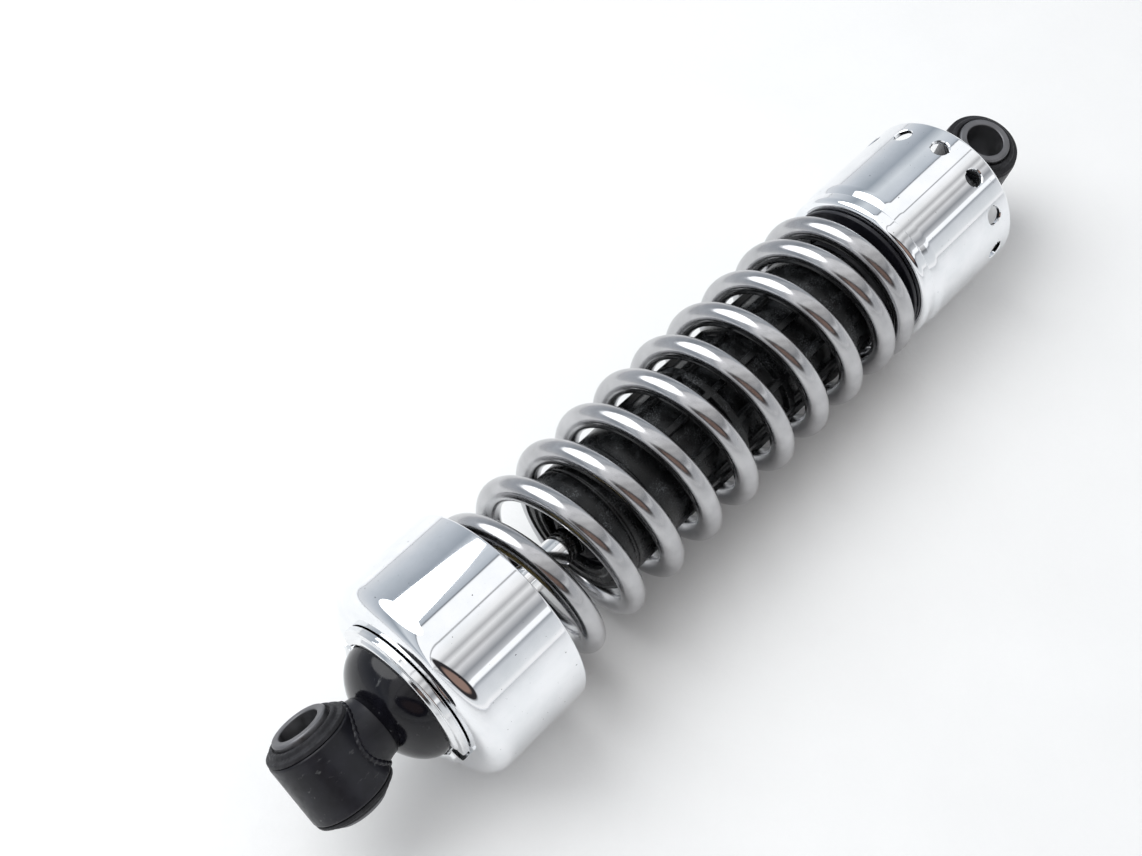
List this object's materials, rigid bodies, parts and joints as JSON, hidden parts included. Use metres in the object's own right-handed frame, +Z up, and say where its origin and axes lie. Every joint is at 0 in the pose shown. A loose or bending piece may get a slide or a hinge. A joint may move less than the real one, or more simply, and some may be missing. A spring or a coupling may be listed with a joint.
{
  "type": "rear shock absorber",
  "caption": "Coil-over rear shock absorber with rubber-bushed eyes, chromed spring cover, split retaining collar, exposed helical spring, ribbed guide and turnable preload sleeve.",
  "frame": {"origin": "bottom centre of the bounding box, on the surface the spring cover lies on", "axes": "+X along the damper from the rod end to the body end, +Z up with the part lying on its side"},
  "size_m": [0.3236, 0.0678, 0.0678],
  "materials": {
    "chrome": "mirror",
    "spring_steel": "satin bright plating",
    "polished_steel": "polished",
    "hard_chrome": "ground and polished",
    "dull_steel": "dull zinc",
    "black_enamel": "satin black",
    "black_gloss": "gloss black",
    "rubber": "moulded, dull",
    "black_plastic": "moulded, slightly dusty",
    "aluminium": "machined",
    "cam_steel": "plain steel",
    "bearing_polymer": "smooth",
    "bump_foam": "cellular, dull"
  },
  "bodies": {
    "damper_body": {"damper_tube": "black_enamel", "seal_head": "aluminium", "rod_seal": "rubber", "dust_wiper": "rubber", "pressure_tube": "aluminium", "base_valve": "aluminium", "end_cap": "black_enamel", "body_eye": "black_enamel", "body_bush": "rubber", "spring_guide": "black_plastic", "cam_stop_ring": "cam_steel", "spring": "spring_steel"},
    "rod_assembly": {"rod_end_eye": "black_enamel", "rod_end_bush": "rubber", "rod_end_dome": "black_gloss", "collar_half_a": "polished_steel", "collar_half_b": "polished_steel", "spring_cover": "chrome", "piston_rod": "hard_chrome", "lock_nut": "dull_steel", "bump_stop": "bump_foam", "rebound_spacer": "bearing_polymer", "shim_stack": "cam_steel", "piston": "aluminium", "piston_ring": "bearing_polymer", "piston_nut": "dull_steel"},
    "spring_seat": {"thrust_washer": "black_enamel"},
    "adjuster": {"adjuster_sleeve": "chrome", "adjuster_cam": "cam_steel"},
    "rod_end_pivot": {"rod_end_sleeve": "dull_steel"},
    "body_end_pivot": {"body_sleeve": "dull_steel"}
  },
  "joints": [
    {"name": "rod_slide", "type": "slide", "parent": "damper_body", "child": "rod_assembly", "axis": [1, 0, 0], "range_m": [0, 0.036], "stiffness_N_per_m": 20000, "springref_m": -0.01, "deforming": ["spring"]},
    {"name": "seat_lift", "type": "slide", "parent": "damper_body", "child": "spring_seat", "axis": [-1, 0, 0], "range_m": [0, 0.006]},
    {"name": "adjuster_turn", "type": "hinge", "parent": "spring_seat", "child": "adjuster", "pos_m": [0.1, 0, 0.0339], "axis": [1, 0, 0], "range_deg": [0, 96]},
    {"name": "rod_end_twist", "type": "hinge", "parent": "rod_assembly", "child": "rod_end_pivot", "pos_m": [-0.149, 0, 0.0339], "axis": [0, 0.6561, 0.7547], "range_deg": [-15, 15], "stiffness_Nm_per_rad": 2},
    {"name": "body_end_twist", "type": "hinge", "parent": "damper_body", "child": "body_end_pivot", "pos_m": [0.149, 0, 0.0339], "axis": [0, -0.309, 0.9511], "range_deg": [-15, 15], "stiffness_Nm_per_rad": 2}
  ],
  "couplings": [
    {"joint": "adjuster_turn", "follows": "seat_lift", "rad_per_m": 279.2}
  ]
}
